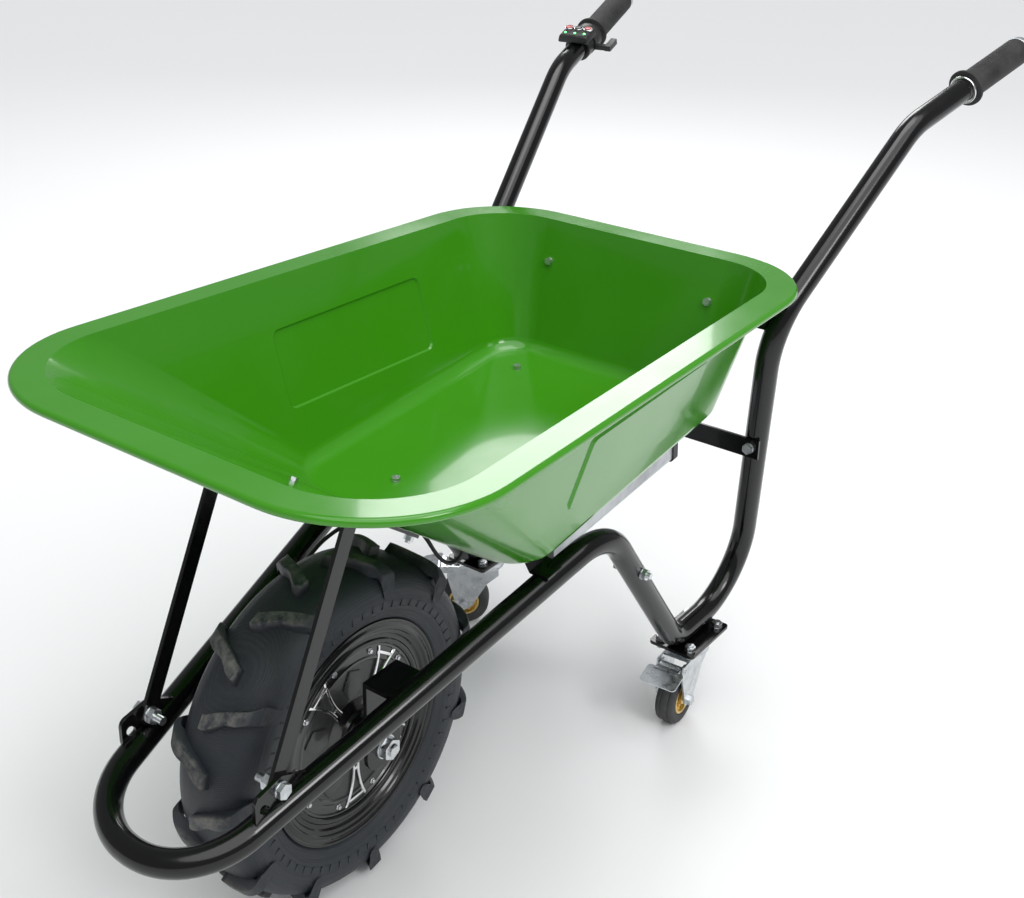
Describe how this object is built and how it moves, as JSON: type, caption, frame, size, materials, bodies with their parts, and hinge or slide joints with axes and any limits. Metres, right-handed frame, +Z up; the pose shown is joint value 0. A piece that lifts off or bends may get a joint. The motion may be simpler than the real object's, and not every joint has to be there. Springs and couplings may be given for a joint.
{
  "type": "power wheelbarrow",
  "caption": "Single-wheel electric wheelbarrow: deep pressed tray on a bent tube frame, hub-motor tyre in front, two braked swivel casters, two handles with throttle.",
  "frame": {"origin": "on the floor, under the middle of the overall length and width", "axes": "+X forward towards the drive wheel, +Y to the operator's left, +Z up"},
  "size_m": [1.4404, 0.708, 0.8983],
  "materials": {
    "black_paint": "gloss",
    "tray_green": "gloss",
    "zinc": "satin",
    "steel": "satin",
    "tyre": "matt",
    "rubber": "matt",
    "caster_rubber": "matt",
    "gold_hub": "satin",
    "aluminium": "satin",
    "black_plastic": "matt",
    "cell_wrap": "satin",
    "winding": "satin",
    "red_plastic": "gloss",
    "lamp_green": "gloss",
    "chrome": "polished"
  },
  "bodies": {
    "frame": {"front_frame_tube": "black_paint", "leg_tube_left": "black_paint", "leg_tube_right": "black_paint", "front_brackets": "black_paint", "axle_hangers": "black_paint", "brace_left": "black_paint", "brace_right": "black_paint", "back_brackets": "black_paint", "rear_strap": "black_paint", "front_crossbar": "black_paint", "foot_plates": "black_paint", "tray": "tray_green", "brace_bolts": "zinc", "tray_bolts": "zinc", "strap_bolts": "zinc", "splice_bolts": "zinc", "caster_bolts": "zinc", "axle_nuts": "zinc", "axle_washers": "zinc", "cap_latch": "zinc", "caster_top_left": "zinc", "kingpin_left": "zinc", "caster_top_right": "zinc", "kingpin_right": "zinc", "axle": "steel", "stator": "winding", "battery_case": "aluminium", "battery_caps": "black_plastic", "throttle_body": "black_plastic", "panel_housing": "black_plastic", "motor_cable": "black_plastic", "battery_pack": "cell_wrap", "grip_left": "rubber", "grip_right": "rubber", "grip_ends": "chrome", "grip_rings": "chrome", "panel_lamps": "lamp_green"},
    "wheel": {"tyre": "tyre", "rim": "black_paint", "motor_cover_left": "black_paint", "motor_cover_right": "black_paint", "cover_screws": "zinc", "magnet_ring": "steel", "wheel_bearings": "steel"},
    "caster_left": {"fork_left": "zinc", "caster_axle_left": "zinc", "pedal_pin_left": "zinc"},
    "caster_wheel_left": {"caster_tyre_left": "caster_rubber", "caster_hub_left": "gold_hub"},
    "brake_left": {"pedal_left": "zinc"},
    "caster_right": {"fork_right": "zinc", "caster_axle_right": "zinc", "pedal_pin_right": "zinc"},
    "caster_wheel_right": {"caster_tyre_right": "caster_rubber", "caster_hub_right": "gold_hub"},
    "brake_right": {"pedal_right": "zinc"},
    "throttle": {"throttle_lever": "black_plastic"},
    "key_power": {"button_power": "red_plastic"},
    "key_reverse": {"button_reverse": "black_plastic"},
    "key_speed": {"button_speed": "red_plastic"}
  },
  "joints": [
    {"name": "wheel_spin", "type": "hinge", "parent": "frame", "child": "wheel", "pos_m": [0.40423, 0, 0.217], "axis": [0, 1, 0], "continuous": true},
    {"name": "swivel_left", "type": "hinge", "parent": "frame", "child": "caster_left", "pos_m": [-0.14077, 0.18, 0.106], "axis": [0, 0, 1], "continuous": true},
    {"name": "roll_left", "type": "hinge", "parent": "caster_left", "child": "caster_wheel_left", "pos_m": [-0.10885, 0.18223, 0.039], "axis": [-0.0698, 0.9976, 0], "continuous": true},
    {"name": "brake_pedal_left", "type": "hinge", "parent": "caster_left", "child": "brake_left", "pos_m": [-0.09089, 0.18349, 0.096], "axis": [-0.0698, 0.9976, 0], "range_deg": [0, 5]},
    {"name": "swivel_right", "type": "hinge", "parent": "frame", "child": "caster_right", "pos_m": [-0.14077, -0.18, 0.106], "axis": [0, 0, 1], "continuous": true},
    {"name": "roll_right", "type": "hinge", "parent": "caster_right", "child": "caster_wheel_right", "pos_m": [-0.12288, -0.20653, 0.039], "axis": [0.829, 0.5592, 0], "continuous": true},
    {"name": "brake_pedal_right", "type": "hinge", "parent": "caster_right", "child": "brake_right", "pos_m": [-0.11281, -0.22145, 0.096], "axis": [0.829, 0.5592, 0], "range_deg": [0, 5]},
    {"name": "throttle_press", "type": "hinge", "parent": "frame", "child": "throttle", "pos_m": [-0.57309, -0.30803, 0.84035], "axis": [0.947, 0.1809, -0.2656], "range_deg": [0, 30], "stiffness_Nm_per_rad": 0.3, "springref_deg": -8.59},
    {"name": "power_key", "type": "slide", "parent": "frame", "child": "key_power", "axis": [-0.2609, -0.0498, -0.9641], "range_m": [0, 0.0012], "stiffness_N_per_m": 400},
    {"name": "reverse_key", "type": "slide", "parent": "frame", "child": "key_reverse", "axis": [-0.2609, -0.0498, -0.9641], "range_m": [0, 0.0012], "stiffness_N_per_m": 400},
    {"name": "speed_key", "type": "slide", "parent": "frame", "child": "key_speed", "axis": [-0.2609, -0.0498, -0.9641], "range_m": [0, 0.0012], "stiffness_N_per_m": 400}
  ]
}
